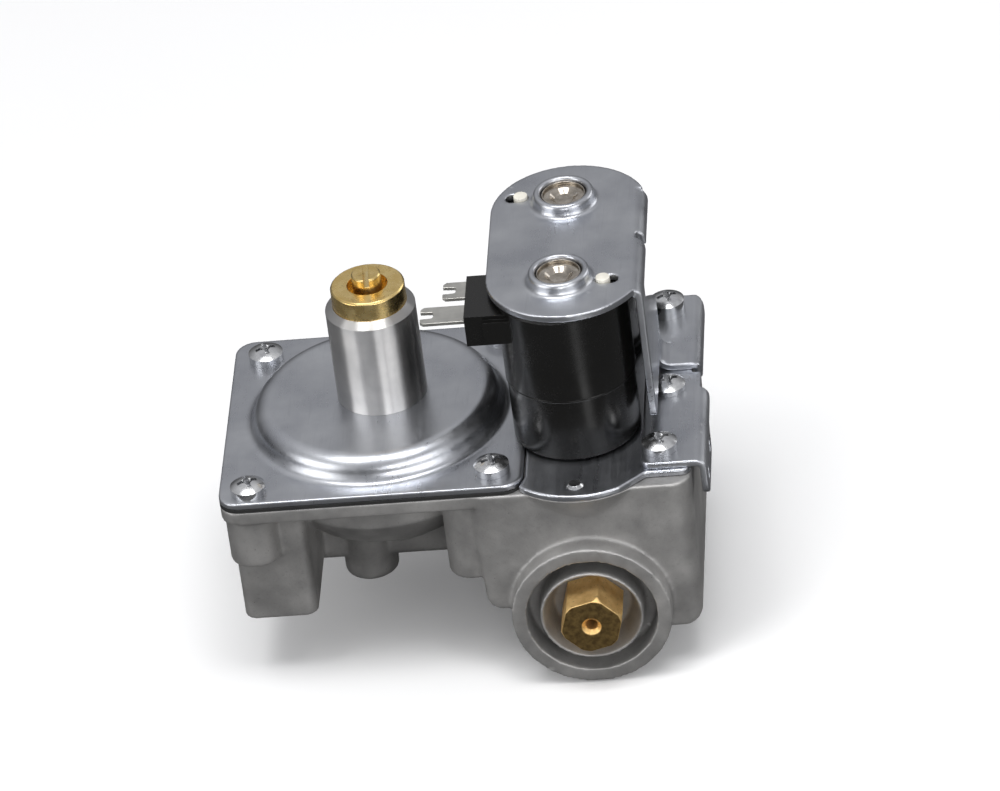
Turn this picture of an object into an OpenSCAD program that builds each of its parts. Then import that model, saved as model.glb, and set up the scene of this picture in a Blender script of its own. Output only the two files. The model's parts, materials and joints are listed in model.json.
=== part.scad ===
// Combination gas valve: pressure regulator beside two solenoid valves in one
// die casting, with an outlet collar and burner orifice at the front.
// Millimetres. The origin is the centre of the outlet collar's front plane.
// +X runs to the solenoid side, +Y into the body, +Z up.

/* [Valve block] */
// Height of the machined top face above the outlet axis
deck_z = 30; // [29:0.1:31]
// Depth of the body face behind the outlet collar's front plane
face_y = 4.5; // [4:0.1:5.5]
// Back face of the valve block
block_back = 71; // [70:0.5:73]
// Left side of the valve block at the deck
block_left = -24.3; // [-25:0.1:-24]
// Right side of the valve block at the deck
block_right = 24.3; // [24:0.1:24.4]

/* [Outlet collar] */
// Outside diameter of the outlet collar
collar_od = 35; // [34:0.1:36]
// Inside diameter of the outlet collar
collar_id = 28.5; // [28:0.1:29.5]
// Outside diameter of the inner hub
hub_od = 22.6; // [22:0.1:23.5]
// Width across flats of the burner orifice
orifice_af = 12.4; // [11.5:0.1:13]
// Diameter of the orifice drilling
orifice_bore = 2.6; // [1.5:0.1:3]

/* [Regulator] */
// Left edge of the regulator cover
cover_left = -78.4; // [-80:0.1:-78]
// Right edge of the regulator cover
cover_right = -12; // [-12.6:0.1:-12]
// Front edge of the regulator cover
cover_front = 5; // [4.8:0.1:5.4]
// Back edge of the regulator cover
cover_back = 68.6; // [68:0.1:70]
// Thickness of the pressed covers
sheet_t = 1.5; // [1.2:0.1:1.6]
// Top of the regulator dome
dome_z = 37.7; // [37.2:0.1:39]
// Outside diameter of the spring tower
tower_od = 19.8; // [19.4:0.1:20.4]
// Height of the tower's outer top edge
tower_z = 60; // [58:0.1:61]
// Travel of the regulator poppet
poppet_lift = 2.3; // [1.5:0.1:2.3]

/* [Solenoids] */
// Position of the front solenoid axis behind the collar plane
coil_front_y = 27.2; // [26.8:0.1:27.6]
// Distance between the solenoid axes
coil_pitch = 31.2; // [31:0.1:31.6]
// Radius of the coil moulding
coil_r = 14.2; // [14:0.1:14.4]
// Radius of the lower end of the coil moulding
coil_low_r = 13.9; // [13:0.1:13.9]
// Top of the coil moulding
coil_top = 68.05; // [67.8:0.05:68.05]
// Thickness of the solenoid bracket
bracket_t = 1.7; // [1.4:0.1:1.8]
// Lift of each plunger
plunger_lift = 3; // [2:0.1:3]

/* [Inlet] */
// Position of the inlet axis across the body
inlet_x = -67.6; // [-68.5:0.1:-67.4]
// Height of the inlet axis
inlet_z = 8; // [7.5:0.1:8.5]
// Radius of the inlet thread
inlet_r = 7.4; // [7:0.1:7.6]

/* [Hidden] */
$fn = 64;

e = 0.02;
coil_x = -0.5;
coil_back_y = coil_front_y + coil_pitch;
coil_y = [coil_front_y, coil_back_y];
reg = [-43.3, 37.4];
dome_c = [(cover_left + cover_right) / 2 + 0.3, (cover_front + cover_back) / 2 + 0.6];
flange_t = 3.2;
gasket_t = 0.8;
cover_z = deck_z + gasket_t;
cover_top = cover_z + sheet_t;
bonnet_t = 1.6;
bonnet_top = deck_z + bonnet_t;
mount_top = bonnet_top + 1.6;
foot_top = mount_top + 1.7;
coil_base = cover_top + 0.08;
top_z = coil_top + 0.05;
tower_r = tower_od / 2;
cover_holes = [[-71.8, 9.6], [-18.7, 11.5], [-71.2, 61.2], [-18.5, 62]];
blade_y = [-4, 5.2];
blade_tip = [-30.5, -26];
peg_front = [8.9, 26.4];
peg_back = [-10.2, 61.1];
bracket_holes = [[17.9, 14.2], [19.2, 37.2], [18.7, 64.6]];
zinc = [0.74, 0.75, 0.77];
cast = [0.66, 0.66, 0.66];
brassy = [0.80, 0.62, 0.30];
black = [0.06, 0.06, 0.06];

// ---------- shared shapes ----------

// points of an arc about c, from angle a0 to a1
function arc(c, r, a0, a1, n = 6) =
    [for (i = [0:n]) c + r * [cos(a0 + (a1 - a0) * i / n), sin(a0 + (a1 - a0) * i / n)]];

// outline of a rectangle with rounded corners
function rounded(x0, x1, y0, y1, r, n = 6) = concat(
    arc([x1 - r, y0 + r], r, -90, 0, n), arc([x1 - r, y1 - r], r, 0, 90, n),
    arc([x0 + r, y1 - r], r, 90, 180, n), arc([x0 + r, y0 + r], r, 180, 270, n));

// a shape drawn in X and Z, carried from y0 to y1
module along_y(y0, y1) translate([0, y1, 0]) rotate([90, 0, 0]) linear_extrude(y1 - y0) children();

// a shape drawn in Y and Z, carried from x0 to x1
module along_x(x0, x1)
    translate([x0, 0, 0]) rotate([90, 0, 90]) linear_extrude(x1 - x0) children();

module rod(p, r, z0, z1) translate([p[0], p[1], z0]) cylinder(r = r, h = z1 - z0);

module rod_y(x, z, r, y0, y1) translate([x, y1, z]) rotate([90, 0, 0]) cylinder(r = r, h = y1 - y0);

module rod_x(y, z, r, x0, x1) translate([x0, y, z]) rotate([0, 90, 0]) cylinder(r = r, h = x1 - x0);

module ring(p, ro, ri, z0, z1) difference() {
    rod(p, ro, z0, z1);
    rod(p, ri, z0 - 1, z1 + 1);
}

// pan head screw with a cross recess, head seated at z
module pan_screw(p, z, shank, h = 3.1) translate([p[0], p[1], z]) difference() {
    union() {
        intersection() {
            cylinder(r = 3.85, h = h);
            translate([0, 0, h - 6.4]) sphere(r = 6.4);
        }
        translate([0, 0, -shank]) cylinder(r = 1.92, h = shank + 0.5);
    }
    for (a = [0, 90]) rotate(a + 20) translate([-2.2, -0.45, h - 1.6]) cube([4.4, 0.9, 3]);
    translate([0, 0, h - 1.7]) cylinder(r1 = 0.6, r2 = 1.25, h = 2);
}

// closed-end compression spring as a swept wire
module wire_spring(p, rm, rw, z0, z1, turns, n = 14, m = 8) {
    steps = floor(turns * n);
    lo = z0 + rw;
    hi = z1 - rw;
    pe = 2.15 * rw;
    mid = (hi - lo - 2 * pe) / (turns - 2);
    function zt(t) = t < 1 ? lo + pe * t
        : t > turns - 1 ? hi - pe * (turns - t) : lo + pe + mid * (t - 1);
    pts = [for (i = [0:steps], j = [0:m - 1]) let (t = turns * i / steps, a = 360 * t, f = 360 * j / m)
        [p[0] + (rm + rw * cos(f)) * cos(a), p[1] + (rm + rw * cos(f)) * sin(a), zt(t) + rw * sin(f)]];
    sides = [for (i = [0:steps - 1], j = [0:m - 1]) let (k = (j + 1) % m)
        [i * m + j, i * m + k, (i + 1) * m + k, (i + 1) * m + j]];
    polyhedron(points = pts, faces = concat(sides,
        [[for (j = [m - 1:-1:0]) j]], [[for (j = [0:m - 1]) steps * m + j]]), convexity = 10);
}

// ---------- die casting ----------

// front outline of the valve block: drafted sides, a lower floor under the outlet
function block_front() = concat(
    [[block_left, deck_z]],
    arc([-19.6, 3.6], 3.3, 180, 270),
    [[-12.5, 0.3], [-11.5, -0.8], [-10.5, -5.8], [-9, -7.3]],
    arc([20.3, -3.9], 3.4, 270, 360),
    [[block_right, deck_z]]);

module collar_shape() {
    rod_y(0, 0, collar_od / 2, 0, face_y);
    rod_y(0, 0, collar_od / 2 - 0.6, face_y - e, 15);
}

module casting_solid() {
    intersection() {
        along_y(face_y, block_back) polygon(block_front());
        translate([0, 0, -10]) linear_extrude(deck_z + 10)
            polygon(rounded(block_left - 0.5, block_right, face_y, block_back, 4.5));
    }
    // lobe under the front bow of the bonnet
    translate([0.2, 18.9, 20]) cylinder(r1 = 12.8, r2 = 18.4, h = deck_z - 20);
    // regulator flange and bowl
    translate([0, 0, deck_z - flange_t]) linear_extrude(flange_t)
        polygon(rounded(cover_left, cover_right, cover_front, cover_back, 4.5));
    rod(dome_c, 27, 19.7, deck_z - 1);
    translate([dome_c[0], dome_c[1], 11.7]) cylinder(r1 = 20.6, r2 = 27, h = 8);
    rod(reg, 10.5, 4.4, 13);
    // screw bosses
    rod([-72.2, 11.2], 5.7, 15, deck_z - 1);
    rod([-71.4, 61.4], 5.6, 15, deck_z - 1);
    rod([-25.2, 12], 5.6, 7.5, deck_z - 1);
    // leg, which is also the inlet gallery
    translate([0, 0, -1.8]) linear_extrude(deck_z)
        polygon(rounded(-77, -60.8, 10, 50, 2.6));
    rod_y(inlet_x, inlet_z, 10.8, 46, 74);
    // bridge from the leg to the block, and the pressure tap boss
    along_x(-62, -23) polygon(rounded(33, 42.5, -3.7, 14, 1.6));
    rod([-51, 37], 6, -7.9, 13);
    translate([-51, 37, -8.7]) cylinder(r1 = 5.2, r2 = 6, h = 0.8);
    collar_shape();
}

module outlet_cuts() {
    // annular groove between the collar and the inner hub
    translate([0, 0, 0]) rotate([-90, 0, 0]) rotate_extrude()
        translate([hub_od / 2, -1]) square([(collar_id - hub_od) / 2, 7.6]);
    // flared recess in the hub, orifice thread and drilling
    translate([0, -1, 0]) rotate([-90, 0, 0]) cylinder(r1 = 10.9, r2 = 8.6, h = 7.5);
    rod_y(0, 0, 4.8, 6, 14);
    rod_y(0, 0, 3.2, 13, coil_front_y + 2);
}

module valve_cuts() {
    for (y = coil_y) {
        rod([coil_x, y], 10, 26, deck_z + 1);
        difference() {
            rod([coil_x, y], 7.5, 12, 27);
            rod([coil_x, y], 4.6, 10, 14);
        }
    }
    rod([coil_x, coil_front_y], 3, -1.5, 16);
    rod([coil_x, coil_back_y], 3, -4, 16);
    // drilled passage from the back seat up to the front chamber
    translate([coil_x, coil_back_y, -1]) rotate([47.5, 0, 0]) cylinder(r = 2.6, h = 34);
    // feed from the regulator chamber to the back chamber
    rod_x(52.8, 22, 3.4, -40, coil_x - 4);
}

module regulator_cuts() {
    rod(reg, 22, 18.5, deck_z + 1);
    rod(reg, 9, 13.5, 19);
    rod(reg, 8, 6, 14);
    rod_x(37.5, inlet_z, 3, inlet_x, reg[0] - 5);
    rod_y(inlet_x, inlet_z, 5.5, 33.5, 60);
    rod_y(inlet_x, inlet_z, inlet_r, 58, 75);
    translate([inlet_x, 72.9, inlet_z]) rotate([-90, 0, 0])
        cylinder(r1 = inlet_r - 0.1, r2 = inlet_r + 1.3, h = 1.4);
    rod([-51, 37], 4.1, -9, -1);
    rod([-51, 37], 1.5, -2, inlet_z);
}

module valve_body() color(cast) difference() {
    casting_solid();
    outlet_cuts();
    valve_cuts();
    regulator_cuts();
    for (p = cover_holes) rod(p, 1.97, 18.5, deck_z + 1);
    for (p = bracket_holes) rod(p, 1.97, 18.5, deck_z + 1);
    rod([-0.5, 4.5], 1.25, 26, deck_z + 1);
}

module orifice() color(brassy) difference() {
    union() {
        intersection() {
            translate([0, 6.4, 0]) rotate([90, 0, 0]) rotate(90 - 15.5)
                cylinder(r = orifice_af / sqrt(3), h = 10.4, $fn = 6);
            translate([0, -4, 0]) rotate([-90, 0, 0])
                cylinder(r1 = 6.55, r2 = 6.55 + 5, h = 11);
        }
        rod_y(0, 0, 4.74, 6.2, 13);
    }
    rod_y(0, 0, orifice_bore / 2, -5, 4);
    rod_y(0, 0, 2.6, 1, 14);
    translate([0, -4.1, 0]) rotate([-90, 0, 0]) cylinder(r1 = 2.3, r2 = 1.2, h = 1.15);
}

// ---------- regulator ----------

function dome_outer() = concat([[29.2, cover_top], [28.3, cover_top + 0.3], [27.7, cover_top + 1.0]],
    arc([23.3, dome_z - 3.9], 3.9, 8, 90, 10));
function dome_inner() = concat(arc([23.3, dome_z - 3.9], 2.4, 90, 8, 8),
    [[26.5, cover_top + 0.6], [26.5, cover_z]]);

module regulator_cover() color(zinc) difference() {
    union() {
        translate([0, 0, cover_z]) linear_extrude(sheet_t) difference() {
            polygon(rounded(cover_left, cover_right, cover_front, cover_back, 4.5));
            translate(dome_c) circle(r = 28.2);
        }
        translate([dome_c[0], dome_c[1], 0]) rotate_extrude() polygon(concat(
            [[29.2, cover_z]], dome_outer(), [[0, dome_z], [0, dome_z - sheet_t]], dome_inner()));
    }
    rod(reg, 9, 35, 40);
    for (p = cover_holes) rod(p, 2.2, 29, 34);
}

module regulator_tower() color([0.80, 0.80, 0.80]) translate([reg[0], reg[1], 0]) rotate_extrude()
    polygon([[8.2, dome_z - 2.4], [10.2, dome_z - 2.4], [10.2, dome_z - sheet_t - 0.05], [8.95, dome_z - sheet_t - 0.05],
        [8.95, dome_z + 0.03], [tower_r, dome_z + 0.03], [tower_r, tower_z], [8.3, tower_z + 1.3], [8.2, tower_z + 1.3]]);

module cover_screws() color(zinc) for (p = cover_holes) pan_screw(p, cover_top + 0.02, 12);

module adjuster_bushing() color(brassy) translate([reg[0], reg[1], 0]) rotate_extrude()
    polygon([[3.25, 55.2], [8.14, 55.2], [8.14, 65.4], [7.75, 65.8], [4.45, 65.8], [4.45, 61.8], [3.25, 61.8]]);

module adjusting_screw() color(brassy) difference() {
    union() {
        rod(reg, 3.2, 52.05, 68.3);
        translate([reg[0], reg[1], 68.3]) cylinder(r1 = 3.2, r2 = 2.9, h = 0.3);
    }
    translate([reg[0], reg[1], 66.9]) rotate(95) translate([-5, -0.6, 0]) cube([10, 1.2, 3]);
}

module spring_seat() color(zinc) {
    rod(reg, 7.6, 50, 52);
    rod(reg, 5.2, 48.4, 50.5);
}

module regulator_spring() color([0.72, 0.73, 0.74])
    wire_spring(reg, 6.3, 0.7, 32.3, 49.95, 7, 16, 8);

// Centre and edge are flat; a single roll between them lets it flex
module diaphragm() color([0.10, 0.10, 0.10]) difference() {
    union() {
        translate([0, 0, deck_z]) linear_extrude(gasket_t) difference() {
            polygon(rounded(cover_left, cover_right, cover_front, cover_back, 4.5));
            translate(reg) circle(r = 20.9);
        }
        rod(reg, 16.7, deck_z, deck_z + gasket_t);
        translate([reg[0], reg[1], 0]) rotate_extrude() polygon(concat(
            arc([18.8, deck_z + gasket_t], 1.7, 180, 360, 10), [[21.3, deck_z + gasket_t], [21.3, deck_z]],
            arc([18.8, deck_z + gasket_t], 2.5, 340, 200, 10), [[16.3, deck_z], [16.3, deck_z + gasket_t]]));
    }
    for (p = cover_holes) rod(p, 2.2, 29, 33);
    rod(reg, 1.55, 29, 33);
}

module diaphragm_plate_upper() color(zinc) translate([reg[0], reg[1], 0]) rotate_extrude()
    polygon([[1.55, 30.85], [15.2, 30.85], [15.8, 31.3], [15.8, 32.6], [14.9, 32.6], [14.9, 32.1], [1.55, 32.1]]);

module diaphragm_plate_lower() color(zinc) ring(reg, 15.4, 1.55, 28.6, 29.95);

module stem_nut() color(zinc) difference() {
    translate([reg[0], reg[1], 32.15]) cylinder(r = 7 / sqrt(3), h = 2.6, $fn = 6);
    rod(reg, 1.55, 31, 36);
}

module regulator_stem() color(brassy) {
    rod(reg, 1.5, 8.5, 35.6);
    rod(reg, 6.4, 8.4, 9.6);
    rod(reg, 3.2, 26.6, 28.55);
}

module regulator_poppet() color([0.12, 0.12, 0.12]) ring(reg, 6.3, 1.55, 9.62, 11.2);

module regulator_seat() color(brassy) translate([reg[0], reg[1], 0]) rotate_extrude()
    polygon([[4.2, 13.55], [4.9, 13.55], [5.4, 14.1], [8.95, 14.1], [8.95, 18.0], [4.2, 18.0]]);

module pressure_tap_plug() color(zinc) difference() {
    rod([-51, 37], 4.05, -8.5, -1.6);
    translate([-51, 37, -9]) cylinder(r = 4.76 / sqrt(3), h = 4.2, $fn = 6);
}

// ---------- solenoid valves ----------

module bonnet_plate() color(zinc) difference() {
    translate([0, 0, deck_z]) linear_extrude(bonnet_t) polygon(concat(
        arc([0.2, 18.9], 18.6, 225.5, 299, 12),
        [[14.6, 7.6]], arc([block_right - 2, 9.6], 2, -90, 0, 4),
        arc([block_right - 4, block_back - 4], 4, 0, 90), arc([-7.7, block_back - 4], 4, 90, 180),
        [[-11.7, 9.3]]));
    for (y = coil_y) rod([coil_x, y], 5.1, 29, 33);
    for (p = bracket_holes) rod(p, 2.2, 29, 33);
    rod([-0.5, 4.5], 1.25, 29, 33);
}

module bonnet_rivet() color(zinc) {
    rod([-0.5, 4.5], 1.2, 26.4, bonnet_top + 0.3);
    translate([-0.5, 4.5, bonnet_top + 0.02]) cylinder(r1 = 1.9, r2 = 1.3, h = 0.6);
}

module guide_tube_seals() color([0.08, 0.08, 0.08]) for (y = coil_y)
    translate([coil_x, y, 26.96]) rotate_extrude() translate([8.6, 0]) circle(r = 0.9, $fn = 24);

// Flat plate on the bonnet with a flange turned down on the right
module mounting_bracket() color(zinc) difference() {
    union() {
        translate([0, 0, bonnet_top + e]) linear_extrude(1.6 - e) polygon(concat(
            arc([15.9, 10.4], 2, 180, 270, 4), [[25.5, 8.4], [25.5, 37], [26.2, 37], [26.2, 42.8], [block_right, 42.8]],
            arc([block_right - 3, block_back - 3], 3, 0, 90), [[15.9, block_back], [15.9, 63], [13.9, 63]]));
        intersection() {
            along_y(8.4, 37) polygon(concat([[25.3, mount_top], [25.3, bonnet_top + e]],
                arc([25.4, 30.6], 1.02, 90, 0, 4), [[26.42, 23], [28, 23]],
                arc([25.4, 30.6], 2.6, 0, 90, 7)));
            along_x(24, 29) polygon(concat(arc([11.4, 26.4], 3, 180, 270, 5), arc([24.4, 25.8], 2.4, 270, 360, 5),
                [[26.8, 28.6], [28, 29.6], [36, 29.8], [37, 30.8], [37, 40], [8.4, 40]]));
        }
    }
    for (p = bracket_holes) rod(p, 2.2, 29, 36);
    for (y = [12.6, 22.6]) rod_x(y, 27.6, 1.9, 24, 30);
}

module collar_lip(y) translate([coil_x, y, top_z]) rotate_extrude()
    polygon([[5.15, 0], [7.7, 0], [7.7, bracket_t], [7.2, bracket_t + 0.25], [6.85, bracket_t + 0.9],
        [6.7, bracket_t + 2.2], [6.4, bracket_t + 2.7], [5.9, bracket_t + 2.9], [5.4, bracket_t + 2.8],
        [5.15, bracket_t + 2.4]]);

// slot beside a peg, reaching dx further than the peg
module peg_slot(p, dx) {
    rod(p, 1.65, 60, 75);
    rod([p[0] + dx, p[1]], 1.65, 60, 75);
    translate([min(p[0], p[0] + dx), p[1] - 1.6, 60]) cube([abs(dx), 3.2, 15]);
}

// Top plate with round ends, wall down the right side, foot turned outwards at the back
module coil_bracket() color(zinc) difference() {
    union() {
        difference() {
            translate([0, 0, top_z]) linear_extrude(bracket_t) {
                translate([0.6, 30.1]) circle(r = 17.25);
                translate([0.6, 55.6]) circle(r = 17.25);
                translate([-16.65, 30.1]) square([31.15, 25.5]);
            }
            translate([14.5, 21.5, 60]) cube([10, 40.5, 20]);
        }
        // bend, and a wall that narrows to the foot
        along_y(21.5, 62) polygon(concat([[14.4, top_z + bracket_t], [14.4, top_z]],
            arc([14.5, top_z - 1.3], 1.3, 90, 0, 5), [[15.8, 66], [17.5, 66]],
            arc([14.5, top_z + bracket_t - 3], 3, 0, 90, 8)));
        along_x(15.8, 17.5) polygon([[21.5, 66.4], [28.5, 66.4], [28.5, 62.8], [52, 48], [52, 37.4], [43.6, 37.4],
            [43.6, 36.8], [21.5, 36.8]]);
        along_y(43.6, 52) polygon(concat([[17.5, 37.6], [15.8, 37.6]],
            arc([20.1, 37.5 + e], 4.3, 180, 270, 7), [[22, mount_top + e], [22, foot_top + e]],
            arc([20.1, 37.5 + e], 2.6, 270, 180, 6)));
        translate([0, 0, mount_top + e]) linear_extrude(1.7) polygon(concat(
            [[20, 43.6], [24, 43.6], [24, 71]], arc([16.5, 69], 2, 90, 180, 4), [[14.5, 52.4], [20, 52.4]]));
        // turned-down edge of the foot
        intersection() {
            along_y(43.6, 71) polygon(concat([[23.9, foot_top + e], [23.9, mount_top + e]],
                arc([24.35, 32.87], 0.35, 90, 0, 3), [[24.7, 30.6], [26.4, 30.6]],
                arc([24.1, 32.62], 2.3, 0, 90, 6)));
            linear_extrude(40) polygon(concat([[22, 71]], [[22, 43.6]],
                arc([25.2, 44.8], 1.2, 270, 360, 4), arc([24.2, 68.8], 2.2, 0, 90, 5)));
        }
        for (y = coil_y) collar_lip(y);
    }
    for (y = coil_y) rod([coil_x, y], 5.15, 60, 75);
    peg_slot(peg_front, 1.7);
    peg_slot(peg_back, -1.7);
    rod(bracket_holes[2], 2.2, 29, 36);
    // relief notch across the bend
    translate([15.5, 42.3, 64.2]) cube([8, 2.4, 8]);
}

module bracket_screws() color(zinc) {
    pan_screw(bracket_holes[0], mount_top + 0.02, 14);
    pan_screw(bracket_holes[1], mount_top + 0.02, 14, 2.5);
    pan_screw(bracket_holes[2], foot_top + 0.04, 15, 4.6);
}

// One encapsulated coil about the origin axis; the plug block points to -X
module coil_shell(block_z) difference() {
    union() {
        translate([0, 0, coil_base]) cylinder(r = coil_low_r, h = 47.3 - coil_base);
        translate([0, 0, 47.2]) cylinder(r = coil_r, h = coil_top - 47.2 - 0.4);
        translate([0, 0, coil_top - 0.5]) cylinder(r1 = coil_r, r2 = coil_r - 0.4, h = 0.5);
        translate([-20.8, -7.8, block_z]) cube([16, 16.2, 7.5]);
        translate([-16.8, -9, block_z + 0.8]) cube([10, 18, 5.6]);
    }
    translate([0, 0, coil_base - 1]) cylinder(r = 11.6, h = 65.45 - coil_base + 1);
    translate([0, 0, 60]) cylinder(r = 5.12, h = 20);
    // pockets for the two blades
    for (y = blade_y) translate([-21.8, y - 3.2, block_z + 5.36]) cube([6.05, 6.4, 0.88]);
}

// Two flat blades, notched at the free end
module coil_blades(block_z) for (i = [0, 1]) let (t = blade_tip[i])
    translate([0, blade_y[i], block_z + 5.4]) linear_extrude(0.8) polygon([[-15.8, -3.175], [t + 0.7, -3.175],
        [t, -2.4], [t, -1.3], [t + 2.6, -1.1], [t + 3, 0], [t + 2.6, 1.1], [t, 1.3],
        [t, 2.4], [t + 0.7, 3.175], [-15.8, 3.175]]);

module at_back() translate([coil_x, coil_back_y, 0]) rotate(-90) children();

module coil_front() color(black) difference() {
    translate([coil_x, coil_front_y, 0]) coil_shell(59.5);
    rod(peg_front, 1.6, 66.2, 70);
}
module coil_back() color(black) difference() {
    at_back() coil_shell(36);
    rod(peg_back, 1.6, 66.2, 70);
}
module terminals_front() color([0.80, 0.80, 0.78]) translate([coil_x, coil_front_y, 0]) coil_blades(59.5);
module terminals_back() color([0.80, 0.80, 0.78]) at_back() coil_blades(36);

module bobbin(y) translate([coil_x, y, 0]) rotate_extrude() polygon([[5.08, 31.65], [11.4, 31.65], [11.4, 33.2],
    [6.4, 33.2], [6.4, 63.9], [11.5, 63.9], [11.5, 65.4], [5.08, 65.4]]);
module bobbin_front() color([0.15, 0.15, 0.16]) bobbin(coil_front_y);
module bobbin_back() color([0.15, 0.15, 0.16]) bobbin(coil_back_y);
module winding_front() color([0.72, 0.38, 0.22]) ring([coil_x, coil_front_y], 11.3, 6.45, 33.3, 63.8);
module winding_back() color([0.72, 0.38, 0.22]) ring([coil_x, coil_back_y], 11.3, 6.45, 33.3, 63.8);

module locating_pegs() color([0.90, 0.87, 0.76]) {
    rod(peg_front, 1.55, 66.3, 70.5);
    rod(peg_back, 1.55, 66.3, 70.5);
}

// Guide tube, flanged under the bonnet and rolled in over the core at its top
module guide_tube(y) translate([coil_x, y, 0]) rotate_extrude() polygon([[4.5, 27.9], [9.9, 27.9],
    [9.9, 29.96], [5.0, 29.96], [5.0, 71.6], [4.7, 72.0], [4.5, 72.0]]);
module guide_tube_front() color([0.78, 0.78, 0.76]) guide_tube(coil_front_y);
module guide_tube_back() color([0.78, 0.78, 0.76]) guide_tube(coil_back_y);

module core(y) difference() {
    rod([coil_x, y], 4.46, 57.1, 71.4);
    translate([coil_x, y, 70.4]) cylinder(r1 = 2.0, r2 = 3.3, h = 1.1);
}
module core_front() color([0.82, 0.80, 0.76]) core(coil_front_y);
module core_back() color([0.82, 0.80, 0.76]) core(coil_back_y);

module plunger(y) difference() {
    union() {
        rod([coil_x, y], 4.43, 18, 53.7);
        translate([coil_x, y, 53.6]) cylinder(r1 = 4.43, r2 = 4.0, h = 0.4);
        rod([coil_x, y], 6.2, 14.7, 18.5);
    }
    rod([coil_x, y], 5.25, 14, 16.2);
}
module plunger_front() color([0.70, 0.71, 0.72]) plunger(coil_front_y);
module plunger_back() color([0.70, 0.71, 0.72]) plunger(coil_back_y);
module valve_disc_front() color([0.10, 0.10, 0.10]) rod([coil_x, coil_front_y], 5.2, 14.05, 16.15);
module valve_disc_back() color([0.10, 0.10, 0.10]) rod([coil_x, coil_back_y], 5.2, 14.05, 16.15);
module plunger_spring_front() color([0.72, 0.73, 0.74])
    wire_spring([coil_x, coil_front_y], 5.5, 0.4, 18.55, 27.85, 5.5, 14, 6);
module plunger_spring_back() color([0.72, 0.73, 0.74])
    wire_spring([coil_x, coil_back_y], 5.5, 0.4, 18.55, 27.85, 5.5, 14, 6);

// ---------- assembly ----------

valve_body();
orifice();
regulator_cover();
regulator_tower();
cover_screws();
adjuster_bushing();
adjusting_screw();
spring_seat();
regulator_spring();
diaphragm();
diaphragm_plate_upper();
diaphragm_plate_lower();
stem_nut();
regulator_stem();
regulator_poppet();
regulator_seat();
pressure_tap_plug();
bonnet_plate();
bonnet_rivet();
guide_tube_seals();
mounting_bracket();
coil_bracket();
bracket_screws();
coil_front();
coil_back();
bobbin_front();
bobbin_back();
winding_front();
winding_back();
terminals_front();
terminals_back();
locating_pegs();
guide_tube_front();
guide_tube_back();
core_front();
core_back();
plunger_front();
plunger_back();
plunger_spring_front();
plunger_spring_back();
valve_disc_front();
valve_disc_back();
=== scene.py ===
import json
import math

import bmesh
import bpy
import numpy as np
from mathutils import Matrix, Vector


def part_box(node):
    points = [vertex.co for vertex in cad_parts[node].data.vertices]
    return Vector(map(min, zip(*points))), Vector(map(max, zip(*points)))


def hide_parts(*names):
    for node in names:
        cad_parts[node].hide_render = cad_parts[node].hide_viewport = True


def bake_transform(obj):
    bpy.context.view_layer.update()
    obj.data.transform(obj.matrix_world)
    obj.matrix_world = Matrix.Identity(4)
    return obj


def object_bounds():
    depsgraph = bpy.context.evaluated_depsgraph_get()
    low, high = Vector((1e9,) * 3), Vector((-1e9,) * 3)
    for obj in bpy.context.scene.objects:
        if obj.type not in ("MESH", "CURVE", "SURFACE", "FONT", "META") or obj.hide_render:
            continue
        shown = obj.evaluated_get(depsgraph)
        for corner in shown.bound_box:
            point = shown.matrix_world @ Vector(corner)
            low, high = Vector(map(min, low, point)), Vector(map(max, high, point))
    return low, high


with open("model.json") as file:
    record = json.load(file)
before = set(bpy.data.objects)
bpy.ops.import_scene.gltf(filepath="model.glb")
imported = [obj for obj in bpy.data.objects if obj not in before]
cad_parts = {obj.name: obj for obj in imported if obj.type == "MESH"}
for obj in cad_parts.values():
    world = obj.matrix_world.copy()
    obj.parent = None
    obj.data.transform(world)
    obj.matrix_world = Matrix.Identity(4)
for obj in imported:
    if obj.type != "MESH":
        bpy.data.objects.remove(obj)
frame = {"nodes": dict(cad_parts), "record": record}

CAD_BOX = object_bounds()
NODES = frame["nodes"]
SCENE = bpy.context.scene
MM = 0.001


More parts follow.
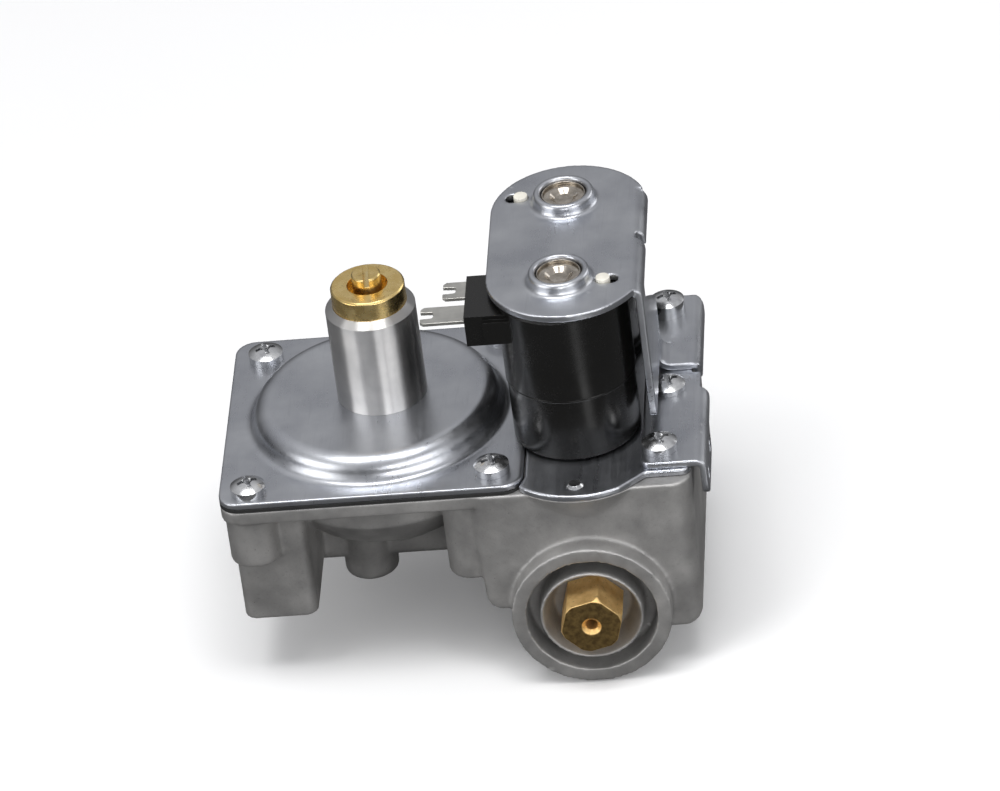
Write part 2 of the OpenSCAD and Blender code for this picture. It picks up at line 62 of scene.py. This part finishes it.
# ---------------------------------------------------------------- materials
class Mat:
    """A node material with short helpers."""

    def __init__(self, name):
        self.mat = bpy.data.materials.new(name)
        self.mat.use_nodes = True
        self.nt = self.mat.node_tree
        self.bsdf = next(n for n in self.nt.nodes if n.type == "BSDF_PRINCIPLED")
        self.coord = self.nt.nodes.new("ShaderNodeTexCoord").outputs["Object"]

    def node(self, kind, inputs=None, **props):
        n = self.nt.nodes.new("ShaderNode" + kind)
        for k, v in props.items():
            setattr(n, k, v)
        for k, v in (inputs or {}).items():
            if isinstance(v, bpy.types.NodeSocket):
                self.nt.links.new(v, n.inputs[k])
            else:
                n.inputs[k].default_value = v
        return n

    def set(self, name, value):
        s = self.bsdf.inputs[name]
        if isinstance(value, bpy.types.NodeSocket):
            self.nt.links.new(value, s)
        else:
            s.default_value = value

    def mapped(self, scale=(1, 1, 1), loc=(0, 0, 0), rot=(0, 0, 0)):
        return self.node("Mapping", {"Vector": self.coord, "Scale": scale, "Location": loc, "Rotation": rot}).outputs[0]

    def noise(self, mm, detail=3.0, rough=0.55, vec=None, distortion=0.0):
        """noise whose features are about mm across"""
        return self.node("TexNoise", {"Vector": vec or self.coord, "Scale": 1000.0 / mm, "Detail": detail,
                                      "Roughness": rough, "Distortion": distortion}).outputs["Fac"]

    def voronoi(self, mm, feature="F1", vec=None):
        return self.node("TexVoronoi", {"Vector": vec or self.coord, "Scale": 1000.0 / mm}, feature=feature).outputs["Distance"]

    def ramp(self, fac, lo, hi, a=(0, 0, 0), b=(1, 1, 1)):
        n = self.node("ValToRGB", {"Fac": fac})
        r = n.color_ramp
        r.elements[0].position, r.elements[1].position = lo, hi
        r.elements[0].color, r.elements[1].color = (*a, 1), (*b, 1)
        return n.outputs["Color"]

    def span(self, fac, lo, hi, a, b):
        """maps fac from lo..hi to a..b"""
        return self.node("MapRange", {"Value": fac, "From Min": lo, "From Max": hi, "To Min": a, "To Max": b}).outputs[0]

    def math(self, op, a, b=0.0):
        n = self.nt.nodes.new("ShaderNodeMath")
        n.operation = op
        for i, v in enumerate((a, b)):
            if isinstance(v, bpy.types.NodeSocket):
                self.nt.links.new(v, n.inputs[i])
            else:
                n.inputs[i].default_value = v
        return n.outputs[0]

    def mix(self, fac, a, b):
        n = self.nt.nodes.new("ShaderNodeMix")
        n.data_type = "RGBA"
        for s, v in ((n.inputs[0], fac), (n.inputs[6], a), (n.inputs[7], b)):
            if isinstance(v, bpy.types.NodeSocket):
                self.nt.links.new(v, s)
            else:
                s.default_value = v if isinstance(v, float) else (*v, 1)
        return n.outputs[2]

    def bump(self, *layers):
        """layers are (height, strength, distance in mm)"""
        normal = None
        for height, strength, dist in layers:
            n = self.node("Bump", {"Height": height, "Strength": strength, "Distance": dist * MM})
            if normal:
                self.nt.links.new(normal, n.inputs["Normal"])
            normal = n.outputs["Normal"]
        self.set("Normal", normal)

    # Pointiness mask of convex edges; the materials use it to paint a highlight along every edge
    def edges(self, lo=0.52, hi=0.62):
        return self.span(self.node("NewGeometry").outputs["Pointiness"], lo, hi, 0.0, 1.0)

    def up(self):
        """1 on faces that look up, 0 on the rest"""
        z = self.node("SeparateXYZ", {"Vector": self.node("NewGeometry").outputs["Normal"]}).outputs["Z"]
        return self.span(z, 0.2, 0.9, 0.0, 1.0)


def cast_aluminium():
    m = Mat("cast_aluminium")
    patches = m.noise(9, 4, 0.6)
    grain = m.noise(0.55, 4, 0.7)
    flow = m.noise(3.2, 3, 0.6, vec=m.mapped(scale=(1, 1, 0.35)))
    tone = m.mix(m.span(patches, 0.3, 0.72, 0, 1), (0.32, 0.315, 0.310), (0.47, 0.462, 0.452))
    tone = m.mix(m.span(grain, 0.25, 0.45, 0.35, 0.0), tone, (0.20, 0.195, 0.185))
    pits = m.voronoi(1.5)
    pit_mask = m.math("MULTIPLY", m.span(pits, 0.10, 0.02, 0, 1), m.span(m.noise(2.5, 2), 0.52, 0.6, 0, 1))
    tone = m.mix(pit_mask, tone, (0.14, 0.135, 0.13))
    # painted highlight: convex edges of the casting lightened
    tone = m.mix(m.edges(), tone, (0.66, 0.655, 0.64))
    m.set("Base Color", tone)
    m.set("Metallic", 0.70)
    m.set("Roughness", m.span(patches, 0.3, 0.7, 0.46, 0.60))
    m.bump((flow, 0.35, 0.10), (grain, 0.55, 0.07), (m.math("SUBTRACT", 1.0, pit_mask), 0.4, 0.06))
    return m.mat


def zinc_sheet():
    m = Mat("zinc_plated_steel")
    cloud = m.noise(14, 4, 0.6)
    streak = m.noise(0.9, 4, 0.65, vec=m.mapped(scale=(1, 0.07, 1)))
    fine = m.noise(0.35, 3, 0.6)
    tone = m.mix(m.span(cloud, 0.3, 0.7, 0, 1), (0.47, 0.485, 0.525), (0.60, 0.615, 0.645))
    tone = m.mix(m.span(streak, 0.55, 0.8, 0.0, 0.35), tone, (0.36, 0.37, 0.40))
    # painted highlight: convex edges of the sheet lightened to near white
    tone = m.mix(m.edges(0.56, 0.68), tone, (0.80, 0.81, 0.83))
    m.set("Base Color", tone)
    m.set("Metallic", 1.0)
    m.set("Roughness", m.math("ADD", m.span(cloud, 0.3, 0.7, 0.25, 0.36), m.span(streak, 0.3, 0.7, -0.03, 0.05)))
    m.bump((cloud, 0.12, 0.10), (streak, 0.16, 0.02), (fine, 0.20, 0.012))
    return m.mat


def zinc_screw():
    m = Mat("zinc_plated_screw")
    cloud = m.noise(2.2, 3)
    m.set("Base Color", m.mix(m.span(cloud, 0.35, 0.7, 0, 1), (0.55, 0.555, 0.57), (0.74, 0.745, 0.75)))
    m.set("Metallic", 1.0)
    m.set("Roughness", m.span(cloud, 0.3, 0.7, 0.16, 0.27))
    m.bump((m.noise(0.4, 3), 0.22, 0.02))
    return m.mat


def polished_tube():
    m = Mat("polished_steel")
    turn = m.noise(0.25, 3, 0.6, vec=m.mapped(scale=(0.03, 0.03, 1)))
    cloud = m.noise(6, 3)
    m.set("Base Color", m.mix(m.span(cloud, 0.3, 0.7, 0, 1), (0.58, 0.575, 0.57), (0.70, 0.69, 0.68)))
    m.set("Metallic", 1.0)
    m.set("Roughness", m.span(cloud, 0.3, 0.7, 0.33, 0.40))
    m.set("Anisotropic", 1.0)
    m.set("Anisotropic Rotation", 0.25)
    m.set("Tangent", m.node("Tangent", direction_type="RADIAL", axis="Z").outputs[0])
    m.bump((turn, 0.10, 0.02), (m.noise(9, 2), 0.05, 0.05))
    return m.mat


def nickel():
    m = Mat("nickel_plate")
    cloud = m.noise(1.8, 3)
    m.set("Base Color", m.mix(m.span(cloud, 0.35, 0.7, 0, 1), (0.42, 0.375, 0.32), (0.66, 0.61, 0.54)))
    m.set("Metallic", 1.0)
    m.set("Roughness", m.span(cloud, 0.3, 0.7, 0.14, 0.24))
    m.bump((m.noise(0.5, 2), 0.15, 0.02))
    return m.mat


def brass():
    m = Mat("brass")
    cloud = m.noise(2.6, 4, 0.6)
    lathe = m.noise(0.3, 3, 0.6, vec=m.mapped(scale=(0.2, 0.2, 1)))
    tone = m.mix(m.span(cloud, 0.3, 0.7, 0, 1), (0.84, 0.59, 0.21), (0.97, 0.75, 0.35))
    tone = m.mix(m.span(m.noise(0.8, 3), 0.6, 0.75, 0, 0.5), tone, (0.30, 0.19, 0.07))
    # painted highlight: convex edges of the brass lightened
    tone = m.mix(m.edges(), tone, (0.93, 0.74, 0.38))
    m.set("Base Color", tone)
    m.set("Metallic", 1.0)
    m.set("Roughness", m.span(cloud, 0.3, 0.7, 0.20, 0.33))
    m.bump((lathe, 0.14, 0.015), (m.noise(0.5, 3), 0.2, 0.02))
    return m.mat


def brass_hex():
    m = Mat("brass_hex")
    cloud = m.noise(2.2, 4, 0.6)
    mill = m.noise(0.28, 3, 0.6, vec=m.mapped(scale=(1, 0.15, 1)))
    tone = m.mix(m.span(cloud, 0.3, 0.7, 0, 1), (0.80, 0.52, 0.20), (0.98, 0.70, 0.32))
    tone = m.mix(m.span(m.noise(0.7, 3), 0.58, 0.75, 0, 0.5), tone, (0.28, 0.18, 0.07))
    # painted shade: the end face looking along -Y is darkened to a dark brown, with a little random variation, while
    # the flanks keep the bright brass
    y = m.node("SeparateXYZ", {"Vector": m.node("NewGeometry").outputs["Normal"]}).outputs["Y"]
    end_face_shade = m.span(y, -0.97, -0.75, 1.0, 0.0)
    tone = m.mix(end_face_shade, tone, m.mix(m.span(m.noise(1.1, 3), 0.35, 0.65, 0, 1), (0.15, 0.095, 0.035), (0.27, 0.18, 0.065)))
    m.set("Base Color", tone)
    m.set("Metallic", 0.85)
    m.set("Roughness", m.span(cloud, 0.3, 0.7, 0.42, 0.54))
    m.bump((mill, 0.18, 0.02), (m.noise(0.6, 3), 0.2, 0.02))
    return m.mat


def moulding():
    m = Mat("black_moulding")
    cloud = m.noise(7, 3)
    dust = m.noise(0.5, 4, 0.7)
    tone = m.mix(m.span(dust, 0.60, 0.78, 0.0, 0.35), (0.0045, 0.0044, 0.0040), (0.022, 0.021, 0.019))
    m.set("Base Color", tone)
    m.set("Roughness", m.math("ADD", m.span(cloud, 0.3, 0.7, 0.17, 0.27), m.span(dust, 0.5, 0.8, 0.0, 0.10)))
    m.set("IOR", 1.52)
    z = m.node("SeparateXYZ", {"Vector": m.coord}).outputs["Z"]
    seam = m.span(m.math("ABSOLUTE", m.math("SUBTRACT", z, 0.0474)), 0.0001, 0.0004, 1.0, 0.0)
    m.bump((m.noise(3.5, 3), 0.20, 0.10), (m.noise(0.6, 3), 0.12, 0.02), (seam, 0.6, 0.15))
    return m.mat


def plain(name, base, rough, metallic=0.0, mm=0.8, bump=0.2, vary=0.15):
    m = Mat(name)
    cloud = m.noise(4, 3)
    dark = tuple(c * (1 - vary) for c in base)
    light = tuple(min(1, c * (1 + vary)) for c in base)
    m.set("Base Color", m.mix(m.span(cloud, 0.3, 0.7, 0, 1), dark, light))
    m.set("Metallic", metallic)
    m.set("Roughness", m.span(cloud, 0.3, 0.7, rough - 0.05, rough + 0.05))
    m.bump((m.noise(mm, 3), bump, 0.03))
    return m.mat


def copper():
    m = Mat("copper_wire")
    wind = m.node("TexWave", {"Vector": m.coord, "Scale": 310.0, "Distortion": 0.2}, wave_type="BANDS",
                  bands_direction="Z").outputs["Fac"]
    m.set("Base Color", m.mix(m.span(wind, 0.2, 0.8, 0, 1), (0.28, 0.09, 0.035), (0.62, 0.25, 0.11)))
    m.set("Metallic", 1.0)
    m.set("Roughness", 0.3)
    m.bump((wind, 0.5, 0.08))
    return m.mat


MATS = {
    "cast_aluminium": cast_aluminium(),
    "zinc_plated_steel": zinc_sheet(),
    "zinc_plated_screw": zinc_screw(),
    "polished_steel": polished_tube(),
    "nickel_plate": nickel(),
    "brass": brass(),
    "black_moulding": moulding(),
    "black_nylon": plain("black_nylon", (0.012, 0.012, 0.013), 0.5),
    "tin_plate": plain("tin_plate", (0.66, 0.65, 0.61), 0.30, 1.0, 0.6, 0.25),
    "cream_plastic": plain("cream_plastic", (0.80, 0.77, 0.68), 0.45),
    "black_rubber": plain("black_rubber", (0.018, 0.018, 0.018), 0.6, 0.0, 0.5, 0.35),
    "copper_wire": copper(),
    "spring_steel": plain("spring_steel", (0.42, 0.42, 0.43), 0.28, 1.0, 0.5, 0.2),
}
SLOT_OF = {s["node"]: s["material_slot"] for s in frame["record"]["subparts"]}


def paint(obj, slot):
    obj.data.materials.clear()
    obj.data.materials.append(MATS[slot])


# ---------------------------------------------------------------- CAD nodes
def crisp_group(degrees):
    """a geometry node group that keeps edges over an angle sharp"""
    g = bpy.data.node_groups.new(f"crisp_{degrees}", "GeometryNodeTree")
    g.is_modifier = True
    g.interface.new_socket("Geometry", in_out="INPUT", socket_type="NodeSocketGeometry")
    g.interface.new_socket("Geometry", in_out="OUTPUT", socket_type="NodeSocketGeometry")
    gi, go = g.nodes.new("NodeGroupInput"), g.nodes.new("NodeGroupOutput")
    ang = g.nodes.new("GeometryNodeInputMeshEdgeAngle")
    cmp = g.nodes.new("FunctionNodeCompare")
    cmp.data_type, cmp.operation = "FLOAT", "GREATER_THAN"
    cmp.inputs[1].default_value = math.radians(degrees)
    smooth = g.nodes.new("GeometryNodeSetShadeSmooth")
    smooth.domain = "EDGE"
    smooth.inputs["Shade Smooth"].default_value = False
    g.links.new(ang.outputs["Unsigned Angle"], cmp.inputs[0])
    g.links.new(gi.outputs[0], smooth.inputs["Geometry"])
    g.links.new(cmp.outputs[0], smooth.inputs["Selection"])
    g.links.new(smooth.outputs[0], go.inputs[0])
    return g


CRISP = crisp_group(40)


def dress(name, width=0.18, segments=3, angle=32):
    """softens the edges of a CAD node with modifiers only"""
    o = NODES[name]
    for att in ("custom_normal",):
        if att in o.data.attributes:
            o.data.attributes.remove(o.data.attributes[att])
    o.data.polygons.foreach_set("use_smooth", [True] * len(o.data.polygons))
    w = o.modifiers.new("weld", "WELD")
    w.merge_threshold = 1e-6
    d = o.modifiers.new("planar", "DECIMATE")
    d.decimate_type = "DISSOLVE"
    d.angle_limit = math.radians(0.6)
    d.delimit = {"NORMAL"}
    if width:
        b = o.modifiers.new("bevel", "BEVEL")
        b.width = width * MM
        b.segments = segments
        b.limit_method = "ANGLE"
        b.angle_limit = math.radians(angle)
        b.use_clamp_overlap = True
        b.harden_normals = True
        b.miter_outer = "MITER_ARC"
    c = o.modifiers.new("crisp", "NODES")
    c.node_group = CRISP
    n = o.modifiers.new("normals", "WEIGHTED_NORMAL")
    n.keep_sharp = True
    n.weight = 60


def soften(name, voxel, passes, keep, relief=0.0, grain=2.4):
    """rounds every corner, inside and out, with a fine even skin, and can give it real relief"""
    o = NODES[name]
    if "custom_normal" in o.data.attributes:
        o.data.attributes.remove(o.data.attributes["custom_normal"])
    w = o.modifiers.new("weld", "WELD")
    w.merge_threshold = 1e-6
    r = o.modifiers.new("skin", "REMESH")
    r.mode = "VOXEL"
    r.voxel_size = voxel * MM
    r.use_smooth_shade = True
    sm = o.modifiers.new("fillets", "SMOOTH")
    sm.factor, sm.iterations = 0.5, passes
    if relief:
        t = bpy.data.textures.new(f"skin_{name}", "CLOUDS")
        t.noise_scale = grain * MM
        t.noise_depth = 3
        dsp = o.modifiers.new("relief", "DISPLACE")
        dsp.texture = t
        dsp.texture_coords = "LOCAL"
        dsp.strength = relief * MM
        dsp.mid_level = 0.5
    dec = o.modifiers.new("lighter", "DECIMATE")
    dec.decimate_type = "COLLAPSE"
    dec.ratio = keep
    if not relief:
        n = o.modifiers.new("normals", "WEIGHTED_NORMAL")
        n.weight = 80


SOFT = {
    "valve_body": (0.42, 4, 0.32, 0.09, 2.4), "regulator_cover": (0.30, 4, 0.40), "coil_bracket": (0.28, 4, 0.45),
    "mounting_bracket": (0.26, 3, 0.45), "bonnet_plate": (0.28, 3, 0.35), "orifice": (0.15, 3, 0.55),
}

WIDTHS = {
    "regulator_tower": 0.18, "cover_screws": 0.10,
    "adjuster_bushing": 0.12, "adjusting_screw": 0.08, "bonnet_rivet": 0.08,
    "bracket_screws": 0.10, "coil_front": 0.40, "coil_back": 0.40,
    "terminals_front": 0.10, "terminals_back": 0.10, "locating_pegs": 0.25, "guide_tube_front": 0.12,
    "guide_tube_back": 0.12, "core_front": 0.12, "core_back": 0.12, "diaphragm": 0.10, "pressure_tap_plug": 0.15,
}
for name, obj in NODES.items():
    paint(obj, SLOT_OF[name])
    if name in WIDTHS:
        dress(name, WIDTHS[name])
    elif name in SOFT:
        soften(name, *SOFT[name])
NODES["orifice"].data.materials.clear()
NODES["orifice"].data.materials.append(brass_hex())

# ---------------------------------------------------------------- springs
def live_spring(node, name, moved_z, cut=None):
    """a copy of a CAD spring, or of the part of it on the moved side of cut"""
    me = NODES[node].data.copy()
    me.name = name
    if "custom_normal" in me.attributes:
        me.attributes.remove(me.attributes["custom_normal"])
    b = bmesh.new()
    b.from_mesh(me)
    bmesh.ops.remove_doubles(b, verts=b.verts, dist=1e-6)
    if cut is not None:
        up_side = moved_z > cut
        bmesh.ops.bisect_plane(b, geom=b.verts[:] + b.edges[:] + b.faces[:], dist=1e-7, plane_co=(0, 0, cut),
                               plane_no=(0, 0, 1), clear_inner=up_side, clear_outer=not up_side)
        bmesh.ops.holes_fill(b, edges=[e for e in b.edges if e.is_boundary], sides=0)
    for f in b.faces:
        f.smooth = True
    b.to_mesh(me)
    b.free()
    ob = bpy.data.objects.new(name, me)
    SCENE.collection.objects.link(ob)
    me.materials.clear()
    me.materials.append(MATS["spring_steel"])
    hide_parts(node)
    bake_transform(ob)


for side in ("front", "back"):
    node = f"plunger_spring_{side}"
    lo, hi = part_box(node)
    live_spring(node, f"live_spring_{side}", lo[2] + 0.0008)
lo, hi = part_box("regulator_spring")
half = (lo[2] + hi[2]) / 2
live_spring("regulator_spring", "live_spring_upper", hi[2] - 0.0014, half)
live_spring("regulator_spring", "live_spring_lower", lo[2] + 0.0014, half)

# ---------------------------------------------------------------- camera
eye = Vector((0.145781, -1.362486, 0.977359))
fwd = Vector((-0.096457, 0.825444, -0.556183))
right = Vector((0.992839, 0.040223, -0.112488))
up = Vector((0.070481, 0.56305, 0.823412))
cam = bpy.data.cameras.new("camera")
cam.sensor_fit = "HORIZONTAL"
cam.sensor_width = 36.0
cam.lens = 36.0 * 7.7467
cam.clip_start, cam.clip_end = 0.05, 20.0
cam.dof.use_dof = False
cam_obj = bpy.data.objects.new("camera", cam)
SCENE.collection.objects.link(cam_obj)
cam_obj.matrix_world = Matrix((
    (right.x, up.x, -fwd.x, eye.x), (right.y, up.y, -fwd.y, eye.y), (right.z, up.z, -fwd.z, eye.z), (0, 0, 0, 1)))
SCENE.camera = cam_obj

# ---------------------------------------------------------------- floor
floor_z = CAD_BOX[0].z - 0.0003
bm = bmesh.new()
bmesh.ops.create_grid(bm, x_segments=1, y_segments=1, size=3.0)
me = bpy.data.meshes.new("floor")
bm.to_mesh(me)
bm.free()
floor = bpy.data.objects.new("floor", me)
floor.location = (0, 0, floor_z)
SCENE.collection.objects.link(floor)
fm = bpy.data.materials.new("floor")
fm.use_nodes = True
nt = fm.node_tree
pale = next(n for n in nt.nodes if n.type == "BSDF_PRINCIPLED")
pale.inputs["Base Color"].default_value = (0.985, 0.985, 0.985, 1)
pale.inputs["Roughness"].default_value = 0.9
pale.inputs["Specular IOR Level"].default_value = 0.1
# painted shade: the floor is pale to camera rays but a dark 0.11 grey diffuse to every other ray, so the parts reflect
# and receive a darker floor
dim = nt.nodes.new("ShaderNodeBsdfDiffuse")
dim.inputs["Color"].default_value = (0.11, 0.11, 0.11, 1)
path = nt.nodes.new("ShaderNodeLightPath")
mixer = nt.nodes.new("ShaderNodeMixShader")
out = next(n for n in nt.nodes if n.type == "OUTPUT_MATERIAL")
nt.links.new(path.outputs["Is Camera Ray"], mixer.inputs[0])
nt.links.new(dim.outputs[0], mixer.inputs[1])
nt.links.new(pale.outputs[0], mixer.inputs[2])
nt.links.new(mixer.outputs[0], out.inputs["Surface"])
floor.data.materials.append(fm)

# ---------------------------------------------------------------- light
world = bpy.data.worlds.new("studio")
SCENE.world = world
world.use_nodes = True
nt = world.node_tree
bg = next(n for n in nt.nodes if n.type == "BACKGROUND")
tc = nt.nodes.new("ShaderNodeTexCoord")
sep = nt.nodes.new("ShaderNodeSeparateXYZ")
nt.links.new(tc.outputs["Generated"], sep.inputs[0])
rz = nt.nodes.new("ShaderNodeValToRGB")
rz.color_ramp.elements[0].position, rz.color_ramp.elements[0].color = 0.0, (0.10, 0.10, 0.10, 1)
rz.color_ramp.elements[1].position, rz.color_ramp.elements[1].color = 1.0, (0.55, 0.55, 0.56, 1)
for pos, v in ((0.50, 0.12), (0.60, 0.22), (0.72, 0.37), (0.82, 0.49), (0.90, 0.62)):
    e = rz.color_ramp.elements.new(pos)
    e.color = (v, v * 1.005, v * 1.03, 1)
half = nt.nodes.new("ShaderNodeMapRange")
half.inputs["From Min"].default_value, half.inputs["From Max"].default_value = -1.0, 1.0
nt.links.new(sep.outputs["Z"], half.inputs["Value"])
nt.links.new(half.outputs[0], rz.inputs[0])
nt.links.new(rz.outputs[0], bg.inputs["Color"])
bg.inputs["Strength"].default_value = 1.0


def area(name, at, aim, size, watts, colour=(1, 1, 1)):
    li = bpy.data.lights.new(name, "AREA")
    li.shape = "RECTANGLE"
    li.size, li.size_y = size
    li.energy = watts
    li.color = colour
    ob = bpy.data.objects.new(name, li)
    ob.location = at
    ob.rotation_euler = (Vector(aim) - Vector(at)).to_track_quat("-Z", "Y").to_euler()
    SCENE.collection.objects.link(ob)
    return ob


MID = (-0.02, 0.03, 0.02)
area("overhead_left", (-0.24, -0.16, 0.94), MID, (0.28, 0.42), 2.7)
area("overhead_right", (0.14, -0.16, 0.95), MID, (0.28, 0.42), 2.5)
area("left_box", (-1.06, -0.68, 0.36), MID, (0.78, 0.75), 5.2)
area("right_box", (0.82, -0.94, 0.36), MID, (0.66, 0.75), 3.9)
area("right_fill", (1.00, 0.66, 0.34), MID, (0.7, 0.6), 2.2)
low = area("low_strip", (0.046, -0.105, floor_z + 0.001), (0.046, -0.105, 1.0), (0.022, 0.12), 0.008)
low.visible_camera = False
bore = area("bore_fill", (0.048, -0.29, floor_z + 0.13), (0.036, -0.03, -0.005), (0.10, 0.06), 0.17)
bore.visible_camera = False
SCENE.view_settings.view_transform = "Standard"
SCENE.view_settings.look = "None"

# ---------------------------------------------------------------- view layer update
bpy.context.view_layer.update()
